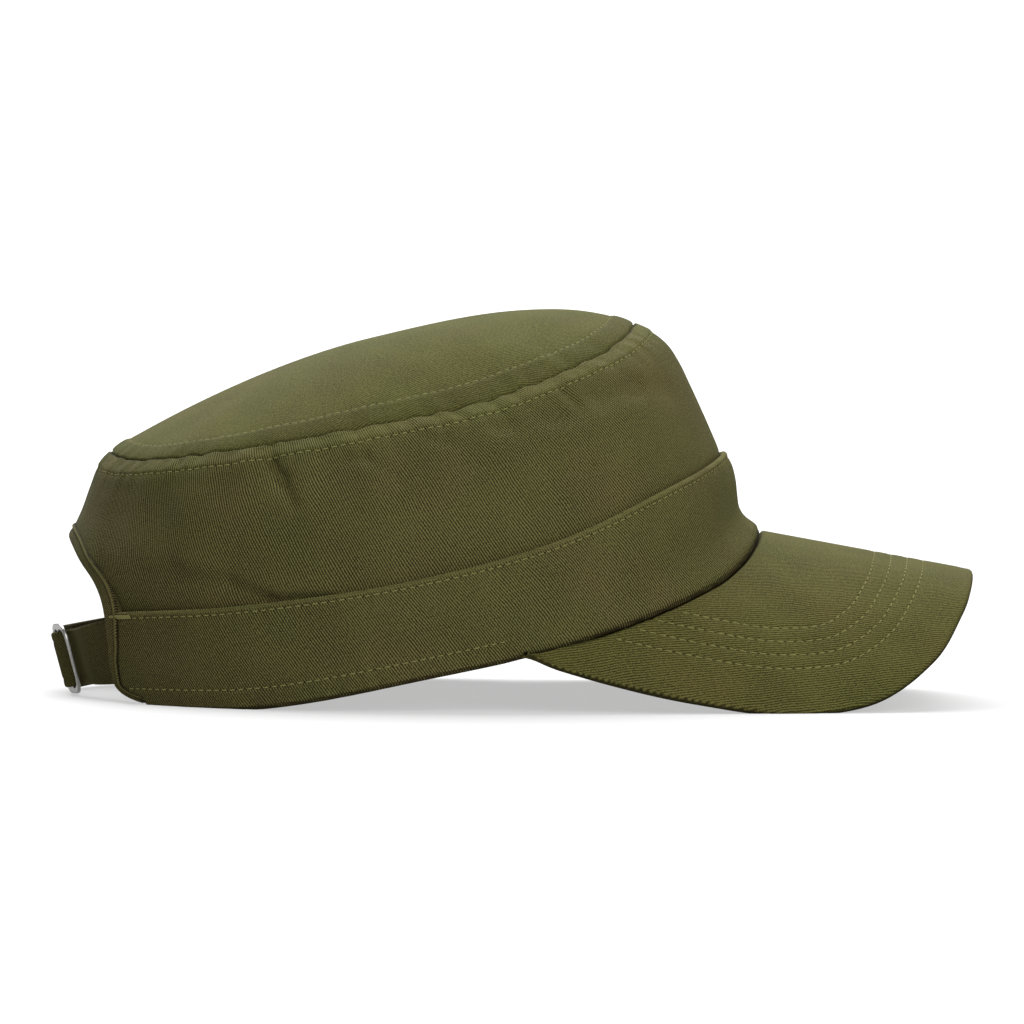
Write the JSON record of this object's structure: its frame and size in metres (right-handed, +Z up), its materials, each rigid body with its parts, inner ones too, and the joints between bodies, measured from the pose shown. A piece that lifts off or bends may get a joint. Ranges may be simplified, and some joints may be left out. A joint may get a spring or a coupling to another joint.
{
  "type": "flat-topped field work cap with a curved peak and an adjustable back strap",
  "caption": "Soft cloth cap with a flat domed top, a lapped band, a stiff curved peak and an arched back opening crossed by a strap with a metal slide.",
  "frame": {"origin": "bottom centre of the cap's box, on the surface that it stands on", "axes": "+X ahead over the peak, +Y to the wearer's left, +Z up; the cap stands nose-up, as it rests by itself"},
  "size_m": [0.2654, 0.1686, 0.1118],
  "materials": {
    "panel_twill": "sunlit olive cotton twill, washed and soft",
    "wall_twill": "olive cotton twill with a fine diagonal rib",
    "peak_twill": "olive cotton twill stretched over a board and sewn in rows",
    "binding_tape": "dark olive ribbed twill tape",
    "slide_metal": "pale stamped steel, satin"
  },
  "bodies": {
    "root": {"top_panel": "panel_twill", "crown_wall": "wall_twill", "band": "wall_twill", "peak": "peak_twill", "opening_binding": "binding_tape", "strap": "binding_tape", "slide": "slide_metal"}
  },
  "joints": []
}
